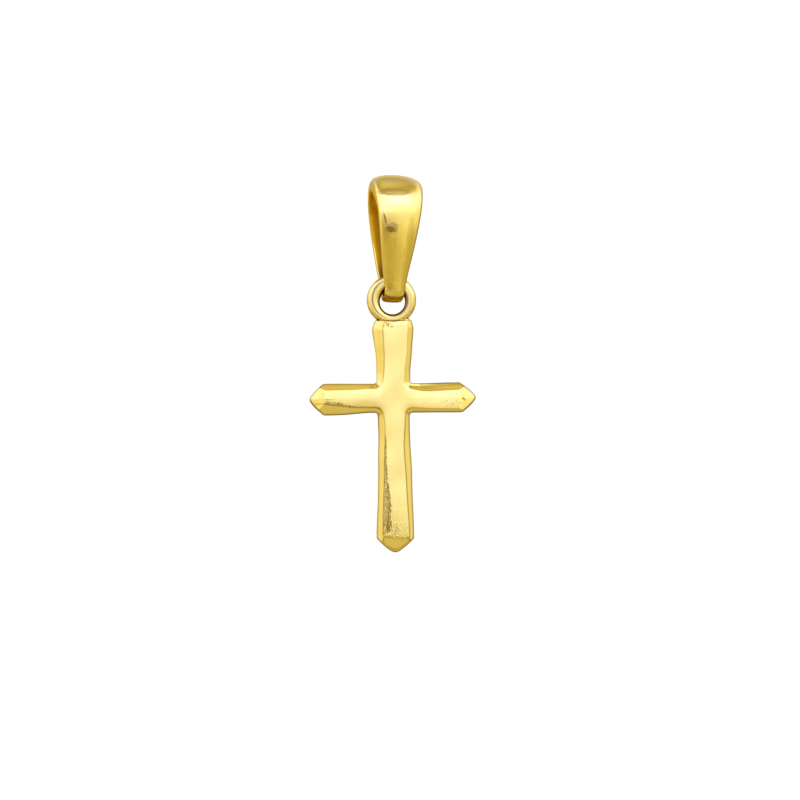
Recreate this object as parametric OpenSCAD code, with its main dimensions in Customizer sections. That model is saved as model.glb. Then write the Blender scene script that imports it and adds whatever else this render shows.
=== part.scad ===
// Cross pendant: a small cast cross with a flattened ring at its head, hung in a tapered bail.
// Millimetres. +Z is up, +X is the viewer's right and the front faces -Y.
// The origin is the seat inside the top of the bail, where a chain lies.

/* [Cross] */
// Height of the cross from its top edge to the tip of its foot
cross_h = 14; // [10:0.5:24]
// Width of the cross from tip to tip
cross_w = 10; // [7:0.5:18]
// Thickness of the cross from front to back
cross_t = 1.1; // [0.8:0.1:2]
// Distance from the top edge down to the middle of the side arms
head_h = 4.7; // [3.5:0.1:7]
// Width of the upright beside the crossing
upright_waist_w = 1.9; // [1.6:0.05:2.6]
// Width of the upright at its top edge
upright_head_w = 2.5; // [2:0.05:3.4]
// Width of the upright at the shoulders of its foot
upright_foot_w = 2.26; // [1.8:0.05:3.2]
// Width of the side arms beside the crossing
side_waist_w = 1.74; // [1.4:0.05:2.4]
// Width of the side arms at their shoulders
side_end_w = 1.86; // [1.5:0.05:2.8]
// Length of the point below the shoulders of the foot
foot_point_l = 0.86; // [0.5:0.05:1.4]
// Length of the point past the shoulders of each side arm
side_point_l = 0.76; // [0.4:0.05:1.2]
// Width of the blunt tip of each point
tip_w = 0.24; // [0.1:0.02:0.4]
// Size of the cut across each corner of the top edge
head_cut = 0.3; // [0.2:0.05:0.8]
// Width of the front bevel at the ends of the arms
bevel_end_w = 0.4; // [0.2:0.05:0.6]
// Width of the front bevel beside the crossing
bevel_waist_w = 0.22; // [0.1:0.02:0.4]
// Depth of the front bevel, from the flat front to the rim
bevel_depth = 0.34; // [0.15:0.01:0.5]
// Softened edge of the flat back
back_edge = 0.1; // [0.05:0.01:0.2]
// Radius of the inner corners of the crossing
corner_r = 0.2; // [0.1:0.02:0.5]

/* [Ring] */
// Outer diameter of the ring at the head of the cross
ring_d = 2.96; // [2.4:0.02:4]
// Radial width of the ring's wire
ring_wire_w = 0.73; // [0.5:0.01:0.9]
// Thickness of the ring's wire from front to back
ring_wire_t = 0.5; // [0.4:0.02:0.7]
// Depth to which the ring is cast into the top edge
ring_sink = 0.28; // [0.15:0.01:0.5]

/* [Bail] */
// Height of the bail over all
bail_h = 7.66; // [6:0.1:12]
// Width of the bail over its arch
bail_w = 2.64; // [2:0.05:4]
// Depth of the bail's arch from front to back
bail_d = 3.8; // [3:0.05:6]
// Wall of the bail at the arch
arch_wall = 0.55; // [0.4:0.01:0.8]
// Wall of the bail at the foot, where the ring hangs
foot_wall = 0.43; // [0.3:0.01:0.5]
// Room between the ring's wire and each leaf of the bail
ring_room = 0.28; // [0.1:0.01:0.4]
// Clearance of the bail's foot in the hole of the ring
hole_play = 0.07; // [0.05:0.01:0.15]
// Drop of the foot's underside below the middle of the ring
foot_drop = 0.16; // [0.05:0.01:0.25]
// Angle below the middle of the arch at which the leaves leave it
leaf_angle = 15; // [5:1:25]
// Rounding of the bail's outer edges
edge_r = 0.17; // [0.08:0.01:0.2]
// Rise of the bail's outer face across its width
crown_h = 0.1; // [0.05:0.01:0.2]

/* [Hanging] */
// Turn of the bail about the vertical, towards the viewer's right
bail_turn = 12.5; // [-15:0.5:15]
// Lean of the bail in the plane of the cross, its top to the right
bail_lean = 2.6; // [-3:0.1:3]

/* [Hidden] */
$fn = 64;
GOLD = "#E3BE55";

// The ring hangs on the bail's foot
ring_r = ring_d / 2;
hole_r = ring_r - ring_wire_w;
ring_mid_r = ring_r - ring_wire_w / 2;
foot_r = ring_wire_t / 2 + ring_room;
foot_bottom = bail_h - arch_wall;
ring_below_seat = foot_bottom - foot_drop;
eye_below_seat = foot_bottom - foot_wall - foot_r;
// The foot's width fits in the round hole at the height of its inner face
foot_inner_above = foot_wall - foot_drop;
foot_w = 2 * sqrt(pow(hole_r - hole_play, 2) - pow(foot_inner_above, 2)) * cos(bail_turn);
// Arch of the bail, seen from the side
arch_r = bail_d / 2 - arch_wall;
arch_below_seat = arch_r;
// Heights of the cross, measured down from the middle of the ring
ring_to_top_edge = ring_r - ring_sink;
ring_to_crossing = ring_to_top_edge + head_h;
// Levels of the cross from back to front, along Y
back_y = cross_t / 2;
rim_back_y = back_y - back_edge;
rim_front_y = bevel_depth - cross_t / 2;
front_y = -cross_t / 2;

// Share of an arm's waist by which its root runs past the middle of the crossing
ROOT_LAP = 0.25;
// Share of the corner's radius by which its metal laps into the arms
CORNER_LAP = 0.25;
// Least half width of a point's flat front
LEAST_HALF = 0.02;
// Most of the wall that an edge's rounding may take
EDGE_SHARE = 0.45;
// Rounding of the band's inner edges, as a share of the outer one
INNER_SHARE = 1 / 3;
// Angle through which an outer edge rounds over before the crown takes over
EDGE_TURN = 60;
// Reach of the leaf's two curve handles, as shares of the leaf's height
UPPER_HANDLE = 0.34;
LOWER_HANDLE = 0.45;
// Share of the band's taper that is even along the leaf; the rest grows towards the foot
EVEN_TAPER = 0.45;
// Steps of the curves
LEAF_STEPS = 18;
CROWN_STEPS = 8;
EDGE_STEPS = 3;

// Solid through rings of points that all have the same count, closed by flat ends.
// Its two halves are split into triangles as mirror images.
module loft(rings) {
    n = len(rings[0]);
    last = len(rings) - 1;
    points = [for (ring = rings) each ring];
    sides = [
        for (i = [0:last - 1], k = [0:n - 1])
            let (a = i * n + k, b = i * n + (k + 1) % n)
                each k < n / 2
                    ? [[a, b, b + n], [a, b + n, a + n]]
                    : [[a, b, a + n], [b, b + n, a + n]]
    ];
    start = [[for (k = [n - 1:-1:0]) k]];
    end = [[for (k = [0:n - 1]) last * n + k]];
    polyhedron(points = points, faces = concat(start, sides, end), convexity = 4);
}

// One level of an arm: its root, its shoulders and its point, drawn in by an inset at each
function arm_level(y, reach, waist_w, end_w, point_l, blunt_w, waist_in, end_in) =
    let (
        root = waist_w / 2 - waist_in,
        shoulder = end_w / 2 - end_in,
        root_u = -ROOT_LAP * waist_w,
        shoulder_u = reach - point_l - end_in / 2,
        tip_half = max((blunt_w - end_in) / 2, LEAST_HALF),
        tip_u = reach - end_in
    ) [
        [root_u, y, root],
        [shoulder_u, y, shoulder],
        [tip_u, y, tip_half],
        [tip_u, y, -tip_half],
        [shoulder_u, y, -shoulder],
        [root_u, y, -root]
    ];

// An arm along +X from the crossing, with a soft back edge, an upright rim and a front bevel
module arm(reach, waist_w, end_w, point_l, blunt_w) {
    loft([
        arm_level(back_y, reach, waist_w, end_w, point_l, blunt_w, back_edge, back_edge),
        arm_level(rim_back_y, reach, waist_w, end_w, point_l, blunt_w, 0, 0),
        arm_level(rim_front_y, reach, waist_w, end_w, point_l, blunt_w, 0, 0),
        arm_level(front_y, reach, waist_w, end_w, point_l, blunt_w, bevel_waist_w, bevel_end_w)
    ]);
}

// Metal that rounds the four inner corners of the crossing
module crossing_corners() {
    half_w = upright_waist_w / 2;
    half_h = side_waist_w / 2;
    for (side = [0, 1], level = [0, 1])
        mirror([side, 0, 0])
            mirror([0, 0, level])
                translate([half_w, rim_back_y, half_h])
                    rotate([90, 0, 0])
                        linear_extrude(rim_back_y - rim_front_y)
                            difference() {
                                translate(-CORNER_LAP * corner_r * [1, 1])
                                    square((1 + CORNER_LAP) * corner_r);
                                translate([corner_r, corner_r])
                                    circle(corner_r);
                            }
}

// The cross itself, with the middle of its crossing at the origin
module cross_body() {
    rotate([0, -90, 0])
        arm(head_h, upright_waist_w, upright_head_w, head_cut, upright_head_w - 2 * head_cut);
    rotate([0, 90, 0])
        arm(cross_h - head_h, upright_waist_w, upright_foot_w, foot_point_l, tip_w);
    arm(cross_w / 2, side_waist_w, side_end_w, side_point_l, tip_w);
    rotate([0, 180, 0])
        arm(cross_w / 2, side_waist_w, side_end_w, side_point_l, tip_w);
    crossing_corners();
}

// Flattened ring of round-edged wire, with its hole facing front
module ring() {
    edge = ring_wire_t / 2;
    span = (ring_wire_w - ring_wire_t) / 2;
    rotate([90, 0, 0])
        rotate_extrude()
            translate([ring_mid_r, 0]) {
                translate([span, 0]) circle(edge);
                translate([-span, 0]) circle(edge);
                square([2 * span, ring_wire_t], center = true);
            }
}

// Section of the bail's band: flat inside at x = 0, crowned outside, rounded at its edges
function band_section(w, wall) =
    let (
        half = w / 2,
        r = min(edge_r, EDGE_SHARE * wall),
        inner_r = INNER_SHARE * r,
        edge_x = wall - crown_h * w / bail_w - r,
        edge_y = half - r,
        crown_x = edge_x + r * sin(EDGE_TURN),
        crown_y = edge_y + r * cos(EDGE_TURN),
        turns = [for (k = [0:EDGE_STEPS]) k * EDGE_TURN / EDGE_STEPS]
    ) concat(
        [[inner_r, -half], [0, -half + inner_r], [0, half - inner_r], [inner_r, half]],
        [for (a = turns) [edge_x + r * sin(a), edge_y + r * cos(a)]],
        [for (k = [1:CROWN_STEPS - 1])
            let (s = 1 - 2 * k / CROWN_STEPS)
                [crown_x + (wall - crown_x) * (1 - s * s), crown_y * s]],
        [for (k = [EDGE_STEPS:-1:0]) [edge_x + r * sin(turns[k]), -edge_y - r * cos(turns[k])]]
    );

// Bend of the band about the X axis, from one angle through a sweep
module bend(inner_r, w, wall, start, sweep) {
    rotate([start, 0, 0])
        rotate([0, 90, 0])
            rotate([0, 0, 90])
                rotate_extrude(angle = sweep)
                    translate([inner_r, 0])
                        polygon(band_section(w, wall));
}

// Inner line of a leaf, a cubic curve from the arch at t = 0 to the foot's bend at t = 1
leaf_top = [arch_r * cos(leaf_angle), -arch_below_seat - arch_r * sin(leaf_angle)];
leaf_foot = [foot_r, -eye_below_seat];
leaf_h = leaf_top[1] - leaf_foot[1];
leaf_a = leaf_top + UPPER_HANDLE * leaf_h * [-sin(leaf_angle), -cos(leaf_angle)];
leaf_b = leaf_foot + LOWER_HANDLE * leaf_h * [0, 1];

function leaf_point(t) =
    pow(1 - t, 3) * leaf_top + 3 * pow(1 - t, 2) * t * leaf_a
    + 3 * (1 - t) * t * t * leaf_b + pow(t, 3) * leaf_foot;

function leaf_slope(t) =
    3 * pow(1 - t, 2) * (leaf_a - leaf_top) + 6 * (1 - t) * t * (leaf_b - leaf_a)
    + 3 * t * t * (leaf_foot - leaf_b);

// Share of the way from the arch's width to the foot's, a little full at the top
function taper(t) = EVEN_TAPER * t + (1 - EVEN_TAPER) * t * t;

function leaf_ring(t) =
    let (
        at = leaf_point(t),
        slope = leaf_slope(t),
        out = [-slope[1], slope[0]] / norm(slope),
        w = bail_w + (foot_w - bail_w) * taper(t),
        wall = arch_wall + (foot_wall - arch_wall) * t
    ) [for (p = band_section(w, wall)) [p[1], at[0] + p[0] * out[0], at[1] + p[0] * out[1]]];

// The leaf behind the cross; the front one is its mirror image
module leaf() {
    loft([for (k = [0:LEAF_STEPS]) leaf_ring(k / LEAF_STEPS)]);
}

// The bail with its seat at the origin
module bail_upright() {
    translate([0, 0, -arch_below_seat])
        bend(arch_r, bail_w, arch_wall, -leaf_angle, 180 + 2 * leaf_angle);
    translate([0, 0, -eye_below_seat])
        bend(foot_r, foot_w, foot_wall, 180, 180);
    leaf();
    mirror([0, 1, 0])
        leaf();
}

// Turns and leans what hangs below the seat as the bail hangs
module as_hung() {
    rotate([0, bail_lean, 0])
        rotate([0, 0, bail_turn])
            children();
}

// Middle of the ring where the hung bail holds it
ring_at = ring_below_seat * [-sin(bail_lean), 0, -cos(bail_lean)];

module cross() {
    color(GOLD)
        translate(ring_at) {
            ring();
            translate([0, 0, -ring_to_crossing])
                cross_body();
        }
}

module bail() {
    color(GOLD)
        as_hung()
            bail_upright();
}

cross();
bail();
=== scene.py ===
import math

import bmesh
import bpy
import numpy as np
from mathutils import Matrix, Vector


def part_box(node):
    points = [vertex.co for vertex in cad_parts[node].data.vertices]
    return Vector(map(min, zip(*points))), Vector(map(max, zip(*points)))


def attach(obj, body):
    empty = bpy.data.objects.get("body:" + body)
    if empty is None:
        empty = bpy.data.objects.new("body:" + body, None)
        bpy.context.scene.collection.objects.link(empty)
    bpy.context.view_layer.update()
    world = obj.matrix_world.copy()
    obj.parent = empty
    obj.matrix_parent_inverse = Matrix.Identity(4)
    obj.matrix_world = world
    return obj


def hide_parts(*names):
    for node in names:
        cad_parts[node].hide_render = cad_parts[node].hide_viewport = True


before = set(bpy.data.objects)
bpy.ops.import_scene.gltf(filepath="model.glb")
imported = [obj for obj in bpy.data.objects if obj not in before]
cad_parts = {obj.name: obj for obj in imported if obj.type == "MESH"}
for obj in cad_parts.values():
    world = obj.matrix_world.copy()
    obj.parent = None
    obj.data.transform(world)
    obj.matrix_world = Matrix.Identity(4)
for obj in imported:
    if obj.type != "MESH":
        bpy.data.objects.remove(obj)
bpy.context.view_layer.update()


# The studio
# The pendant hangs free in front of a white background, as on a product table: a pale floor far
# below, a soft white surround that is brightest in front, a large soft lamp above on the right and
# a narrow one lower down, whose streak runs down the bail.
MM = 0.001
LOOK_AT = (0.043 * MM, 0.0, -12.951 * MM)
VIEW_WIDTH = 48 * MM
CAMERA_AWAY = 0.4
CAMERA_ROLL = math.radians(0.95)
FILM_WIDTH = 36.0
FLOOR_BELOW = 0.2
FLOOR_RADIUS = 0.28
FLOOR_GLOW = 0.67
FLOOR_WARMTH = 0.35
SEEN_WHITE = 1.02
SURROUND_PEAK = 1.45
HORIZON_LEAN = 0.01

# Rows of place, level of grey and warmth. Place 0 is straight down, 0.5 is level and 1 straight up
FRONT_SKY = [
    (0.0, 0.55, 0.5), (0.22, 0.38, 0.6), (0.35, 0.28, 0.7), (0.44, 0.44, 0.4), (0.50, 0.80, -0.6),
    (0.56, 0.93, -1.1), (0.80, 0.97, -1.1), (0.88, 0.44, 0.5), (0.93, 0.38, 0.7), (0.97, 0.50, 0.6),
    (1.0, 0.62, 0.3)]
SIDE_SKY = [
    (0.0, 0.50, 0.5), (0.22, 0.45, 0.6), (0.32, 0.42, 0.5), (0.38, 0.59, 0.25), (0.42, 0.71, 0.1),
    (0.50, 0.70, 0.1), (0.56, 0.79, 0.0), (0.62, 0.94, -0.6), (0.83, 0.96, -1.0), (0.89, 0.48, 0.5),
    (0.93, 0.36, 0.7), (0.97, 0.48, 0.6), (1.0, 0.62, 0.3)]
# Where the front sky gives way to the side one, with -1 straight to the front
FRONT_ENDS = (-0.96, -0.8)
# The same columns as the skies, with place 0 in front of the pendant, where the camera is, and 1 behind it
FRONT_TO_BACK = [
    (0.0, 1.0, 0.0), (0.15, 1.0, 0.0), (0.40, 0.90, 0.1), (0.55, 0.88, 0.1), (0.68, 0.84, 0.1),
    (0.80, 0.60, 0.2), (0.96, 0.62, 0.1), (1.0, 0.85, 0.0)]


def knot(tree, kind, inputs=None, **settings):
    """One node of a tree: its settings, then each input as a value or as a link from another node."""
    node = tree.nodes.new(kind)
    for name, value in settings.items():
        setattr(node, name, value)
    for key, value in (inputs or {}).items():
        if isinstance(value, bpy.types.NodeSocket):
            tree.links.new(value, node.inputs[key])
        else:
            node.inputs[key].default_value = value
    return node


def multiply_add(tree, value, factor, plus):
    """A value times a factor, plus another value."""
    return knot(tree, "ShaderNodeMath", {0: value, 1: factor, 2: plus}, operation="MULTIPLY_ADD").outputs[0]


def spread(tree, value, low, high, bottom=0.0, top=1.0):
    """A value drawn from its range low to high onto bottom to top, and held there, with soft ends."""
    inputs = {0: value, 1: low, 2: high, 3: bottom, 4: top}
    return knot(tree, "ShaderNodeMapRange", inputs, interpolation_type="SMOOTHSTEP").outputs[0]


def blended(tree, share, first, second, how="MIX"):
    """The first colour turned into the second, or into their product, by a share from 0 to 1."""
    inputs = {0: share, 6: first, 7: second}
    return knot(tree, "ShaderNodeMix", inputs, data_type="RGBA", blend_type=how).outputs[2]


def grey(level, warmth):
    """A grey of one level. Warmth is the share of its blue that is taken out, with a quarter as much
    of its green. Below 0 blue is added, and a twelfth as much green."""
    green = 0.24 if warmth > 0 else 0.08
    return level, level * (1 - green * warmth), level * (1 - warmth)


def ramp(tree, value, rows):
    """A colour ramp through rows of place, level and warmth, read at a value."""
    node = knot(tree, "ShaderNodeValToRGB", {0: value})
    bands = node.color_ramp.elements
    for row in rows[2:]:
        bands.new(row[0])
    for band, (place, level, warmth) in zip(bands, rows):
        band.position = place
        band.color = (*grey(level, warmth), 1)
    return node.outputs[0]


def light_up(tree, kind, colour, strength, output):
    """A light of one colour on the metal, which the camera itself sees as plain white."""
    lit = knot(tree, kind, {0: colour, 1: strength})
    white = knot(tree, kind, {0: (1, 1, 1, 1), 1: SEEN_WHITE})
    seen = knot(tree, "ShaderNodeLightPath").outputs["Is Camera Ray"]
    mixed = knot(tree, "ShaderNodeMixShader", {0: seen, 1: lit.outputs[0], 2: white.outputs[0]})
    knot(tree, output, {0: mixed.outputs[0]})


def paint_surround():
    """Light by the height of the direction looked in, over a horizon that leans a little. The horizon
    is sharp in front and soft at the sides, and the light dims from the front round to the back."""
    world = bpy.data.worlds.new("studio_surround")
    world.use_nodes = True
    tree = world.node_tree
    tree.nodes.clear()
    towards = knot(tree, "ShaderNodeTexCoord").outputs["Generated"]
    right, back, up = knot(tree, "ShaderNodeSeparateXYZ", {0: towards}).outputs
    height = multiply_add(tree, right, -HORIZON_LEAN, multiply_add(tree, up, 0.5, 0.5))
    at_sides = spread(tree, back, *FRONT_ENDS)
    rise = blended(tree, at_sides, ramp(tree, height, FRONT_SKY), ramp(tree, height, SIDE_SKY))
    turn = ramp(tree, multiply_add(tree, back, 0.5, 0.5), FRONT_TO_BACK)
    light = blended(tree, 1.0, rise, turn, "MULTIPLY")
    light_up(tree, "ShaderNodeBackground", light, SURROUND_PEAK, "ShaderNodeOutputWorld")
    return world


def lamp(name, place, wide, tall, power, roll=0.0):
    """An oblong soft lamp at a place, turned towards the pendant's middle, its top leaned by roll."""
    light = bpy.data.lights.new(name, "AREA")
    light.shape = "RECTANGLE"
    light.size = wide
    light.size_y = tall
    light.energy = power
    holder = bpy.data.objects.new(name, light)
    holder.location = place
    aim = np.array(LOOK_AT) - np.array(place)
    across = math.hypot(aim[0], aim[1])
    holder.rotation_euler = (math.atan2(across, -aim[2]), roll, math.atan2(-aim[0], aim[1]))
    bpy.context.scene.collection.objects.link(holder)


def round_floor():
    """A glowing disc, as a ring of points at the floor's radius and depth, filled by one face."""
    turn = np.linspace(0, 2 * math.pi, 96, endpoint=False)
    rim = np.stack([FLOOR_RADIUS * np.cos(turn), FLOOR_RADIUS * np.sin(turn),
                    np.full_like(turn, -FLOOR_BELOW)], axis=1)
    mesh = bpy.data.meshes.new("studio_floor")
    mesh.from_pydata(rim.tolist(), [], [list(range(len(rim)))])
    paint = bpy.data.materials.new("pale_floor")
    paint.use_nodes = True
    paint.node_tree.nodes.clear()
    light_up(paint.node_tree, "ShaderNodeEmission", (*grey(1.0, FLOOR_WARMTH), 1), FLOOR_GLOW,
             "ShaderNodeOutputMaterial")
    mesh.materials.append(paint)
    disc = bpy.data.objects.new("studio_floor", mesh)
    bpy.context.scene.collection.objects.link(disc)
    return disc


scene = bpy.context.scene
scene.world = paint_surround()
scene.view_settings.view_transform = "Standard"
camera_data = bpy.data.cameras.new("camera")
camera_data.sensor_width = FILM_WIDTH
camera_data.lens = FILM_WIDTH * CAMERA_AWAY / VIEW_WIDTH
camera_data.clip_start = 0.01
camera_data.clip_end = 10.0
camera = bpy.data.objects.new("camera", camera_data)
camera.location = (LOOK_AT[0], -CAMERA_AWAY, LOOK_AT[2])
camera.rotation_euler = (math.pi / 2, CAMERA_ROLL, 0.0)
scene.collection.objects.link(camera)
scene.camera = camera
lamp("key_lamp", place=(0.22, -0.5, 0.22), wide=0.3, tall=0.3, power=0.42)
lamp("low_lamp", place=(0.114, -0.235, -0.09), wide=0.009, tall=0.152, power=0.0085, roll=-0.09)
studio_floor = round_floor()


# The cross
# One flat casting of yellow gold with a level front face, bevels down to a thin upright rim, and a
# slanted facet at each of its three points. Its face is worn soft, with scuffs beside the bevels.
CROSS_HEIGHT = 14.0
HEAD_HEIGHT = 4.7
# Depths, and how the face, the edges and the back are rounded
FRONT = 0.55
BACK = 0.55
RIM_DROP = 0.34
BACK_EDGE = 0.1
BACK_HOLLOW = 0.012
EDGE_ROUND = 0.06
FACE_ROUND = 0.016
FACE_ROUND_IN = 0.55
WAVE_HEIGHT = 0.0026
# The line chased along the bevels, and how dark the painted shade along it and along the edges is
CHASED_LINE = 0.02
CHASED_WIDTH = 0.045
LINE_SHADE = 0.75
POINT_SHADE = 0.9
EDGE_SHADE_IN = 0.085
# The outline, where the arms end, and how far the middle lines under the face run
PLAIN_HALF = 1.0
FILLET = 0.16
ARM_SLIMMER = 0.1
LEFT_ARM = 1.018
RIGHT_ARM = 0.986
RIGHT_CORNER_BACK = 0.16
FOOT_TIP_LEFT = 0.06
SIDE_CORNER_AT = 4.15
SIDE_TIP_AT = 5.0
FOOT_CORNER_AT = 8.42
FOOT_TIP_AT = 9.3
HEAD_CORNER_FROM = 0.9
SIDE_SPINE_END = SIDE_CORNER_AT - 0.12
HEAD_SPINE_END = HEAD_HEIGHT - 0.45
FOOT_SPINE_END = FOOT_CORNER_AT - 0.25
# The slanted facets at the points
POINT_SLOPE = 0.4
POINT_LEAN = 0.55
LEFT_LEAN_DOWN = 0.28
RIGHT_LEAN_DOWN = -0.12
RIGHT_FACET_IN = 0.2
# How finely it is worked out, with the last two in points of the outline
STEP = 0.045
UPRIGHT_EVENED = 0.24
ARM_EVENED = 0.3
SIDES_TRIED = 75
FAR = 9.0
OUTLINE_SOFTENED = 1.1
BEVEL_SOFTENED = 6.0
cross_low, cross_high = (np.array(corner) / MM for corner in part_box("cross"))
CROSSING = np.array([(cross_low[0] + cross_high[0]) / 2, 0.0, cross_low[2] + CROSS_HEIGHT - HEAD_HEIGHT])

# All places are in millimetres from the crossing's middle. The plain outline has arms 1 wide to each
# side of their middle lines, and the next two tables then give the casting its own sides

# The upright: height, and how far its sides lie to the left and to the right of the middle line
UPRIGHT_SIDES = [
    (-8.45, 1.170, 1.075), (-8.17, 1.184, 1.075), (-7.70, 1.164, 1.066), (-7.20, 1.136, 1.060),
    (-6.73, 1.109, 1.045), (-6.25, 1.076, 1.029), (-5.80, 1.061, 1.020), (-4.80, 1.034, 1.012),
    (-4.33, 1.025, 1.011), (-3.85, 1.018, 0.986), (-3.37, 1.011, 0.963), (-2.90, 0.993, 0.939),
    (-2.40, 0.969, 0.929), (-1.93, 0.980, 0.923), (-1.45, 0.990, 0.916), (1.13, 1.041, 0.999),
    (1.43, 1.031, 0.998), (1.73, 1.033, 1.005), (2.03, 1.037, 1.040), (2.33, 1.042, 1.075),
    (2.63, 1.049, 1.110), (2.93, 1.092, 1.133), (3.23, 1.144, 1.150), (3.53, 1.183, 1.181),
    (3.83, 1.227, 1.208), (4.05, 1.260, 1.235), (4.20, 1.262, 1.240), (4.43, 1.203, 1.226),
    (4.70, 1.040, 1.090)]
# The side arms: place from left to right, and how far their edges lie above and below the middle line
ARM_EDGES = [
    (-5.10, 0.935, 0.966), (-4.15, 0.935, 0.966), (-3.55, 0.936, 0.971), (-2.95, 0.925, 0.955),
    (-2.35, 0.911, 0.911), (-1.75, 0.901, 0.861), (-1.26, 0.890, 0.851), (1.60, 0.870, 0.886),
    (2.39, 0.881, 0.886), (2.99, 0.897, 0.898), (3.59, 0.900, 0.908), (4.93, 0.900, 0.905)]


def smooth_step(low, high, x):
    """0 below low, 1 above high, and 3k^2 - 2k^3 between, with k the share of the way."""
    k = np.clip((x - low) / (high - low), 0, 1)
    return k * k * (3 - 2 * k)


def soft_above(x, r):
    """The larger of x and 0, with a parabola from -r to r for the corner between them."""
    return np.where(x > r, x, np.where(x < -r, 0, (x + r) ** 2 / (4 * r)))


def soften(values, sigma):
    """A closed row of values, each the bell-weighted mean of its neighbours."""
    reach = int(4 * sigma) + 1
    k = np.arange(-reach, reach + 1)
    bell = np.exp(-0.5 * (k / sigma) ** 2)
    padded = np.concatenate([values[-reach:], values, values[:reach]])
    return np.convolve(padded, bell / bell.sum(), mode="valid")


def run(start, end):
    """Points from start up to, but not at, end, about a step apart."""
    start, end = np.array(start, float), np.array(end, float)
    count = max(int(round(np.linalg.norm(end - start) / STEP)), 1)
    return start + (end - start) * (np.arange(count) / count)[:, None]


def point_run(corner_at, tip_at):
    """Points from a corner up to, but not at, a blunt point: the side falls in by the power 0.7 of the
    way still to go, so it is nearly straight at first and turns round quickly at the point."""
    count = int(round(math.dist((corner_at, PLAIN_HALF), (tip_at, 0)) / STEP))
    left = 1 - np.arange(count) / count
    along = corner_at + (tip_at - corner_at) * (1 - left)
    return np.stack([along, PLAIN_HALF * left**0.7], axis=1)


def quarter(end, corner_at):
    """A quarter of the plain outline: from the upright's end and corner down its side, round the inner
    corner, along the side arm and to its point."""
    turn = np.linspace(0, math.pi / 2, 9)[1:-1]
    inner = PLAIN_HALF + FILLET
    bend = inner - FILLET * np.stack([np.cos(turn), np.sin(turn)], axis=1)
    return np.concatenate([
        end, run((PLAIN_HALF, corner_at), (PLAIN_HALF, inner)), [[PLAIN_HALF, inner]], bend,
        run((inner, PLAIN_HALF), (SIDE_CORNER_AT, PLAIN_HALF)),
        point_run(SIDE_CORNER_AT, SIDE_TIP_AT), [[SIDE_TIP_AT, 0.0]]])


def plain_outline():
    """The whole plain outline, clockwise from the head's middle: four quarters, mirrored in pairs. The
    upright's ends lie as much too far out as the side arms are slimmer when cast. The points along the
    head's top are a little wider apart close to its corner."""
    head_top = HEAD_HEIGHT + ARM_SLIMMER
    by_corner = (HEAD_CORNER_FROM, head_top)
    foot_corner = FOOT_CORNER_AT + ARM_SLIMMER
    foot_tip = FOOT_TIP_AT + ARM_SLIMMER
    foot_point = point_run(foot_corner, foot_tip)[::-1, ::-1]
    head_end = np.concatenate([run((0, head_top), by_corner), run(by_corner, (PLAIN_HALF, head_top))])
    head = quarter(head_end, head_top)
    foot = quarter(np.concatenate([[[0.0, foot_tip]], foot_point]), foot_corner)
    right_down = foot[::-1] * (1, -1)
    left_up = foot * (-1, -1)
    left_head = head[::-1] * (-1, 1)
    return np.concatenate([head, right_down[1:], left_up[1:], left_head[1:-1]])


def evened(at, places, values, reach):
    """A table's value at each place, as the mean of seven readings as far as reach to both sides."""
    return sum(np.interp(at + shift, places, values) for shift in np.linspace(-reach, reach, 7)) / 7


def half_width(x, z):
    """The upright's reach to the left or right of its middle line at a height, evened out."""
    heights, to_left, to_right = np.array(UPRIGHT_SIDES).T
    return np.where(x < 0, evened(z, heights, to_left, UPRIGHT_EVENED),
                    evened(z, heights, to_right, UPRIGHT_EVENED))


def half_height(x, z):
    """The side arms' reach above or below their middle line at a place along them, evened out."""
    places, above, below = np.array(ARM_EDGES).T
    return np.where(z < 0, evened(x, places, below, ARM_EVENED), evened(x, places, above, ARM_EVENED))


def arm_length(x):
    """The length of the left or the right arm, over the plain one's."""
    return np.where(x < 0, LEFT_ARM, RIGHT_ARM)


def as_cast(plain):
    """The casting's own outline: each side of the plain one moved out or in to its measured width, the
    right arm's upper corner drawn back a little and the foot's tip moved to the left."""
    x, z = plain.T
    out_x, out_z = np.abs(plain.T)
    own_z = np.sign(z) * np.maximum(out_z - ARM_SLIMMER, 0)
    half_wide, half_tall = half_width(x, own_z), half_height(x, z)
    stretch = (arm_length(x) * SIDE_TIP_AT - half_wide) / (SIDE_TIP_AT - PLAIN_HALF)
    wide = np.where(out_x > PLAIN_HALF, half_wide + (out_x - PLAIN_HALF) * stretch, half_wide * out_x)
    tall = np.where(out_z > PLAIN_HALF, half_tall + (out_z - PLAIN_HALF), half_tall * out_z)
    corner_shift = -RIGHT_CORNER_BACK * smooth_step(2.5, SIDE_CORNER_AT, x) * np.clip(z, 0, 1)
    foot_shift = -FOOT_TIP_LEFT * smooth_step(FOOT_CORNER_AT, FOOT_TIP_AT, -z)
    return np.stack([np.sign(x) * wide + corner_shift + foot_shift, np.sign(z) * tall], axis=1)


def spine_under(plain):
    """For each outline point, the point of the arms' middle lines that its line of the skin runs to.
    It stays level with the point far out, and reaches the crossing's middle at the inner corner."""
    x, z = plain.T
    inner = PLAIN_HALF + FILLET
    past_x, past_z = np.maximum(np.abs(plain.T) - inner, 0)
    on_upright = smooth_step(0.0, 0.3, past_z) * (past_x < 0.15)
    on_side = smooth_step(0.0, 0.3, past_x) * (past_z < 0.15)
    x_reach = np.minimum(past_x + inner * (1 - np.exp(-past_x)), SIDE_SPINE_END)
    z_end = np.where(z > 0, HEAD_SPINE_END, FOOT_SPINE_END)
    z_reach = np.minimum(past_z + inner * (1 - np.exp(-past_z)), z_end)
    spine_x = np.sign(x) * x_reach * arm_length(x) * (1 - on_upright)
    spine_x = np.where(np.abs(spine_x) < 1e-6, 0.0, spine_x)
    return np.stack([spine_x, np.sign(z) * z_reach * (1 - on_side)], axis=1)
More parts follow.
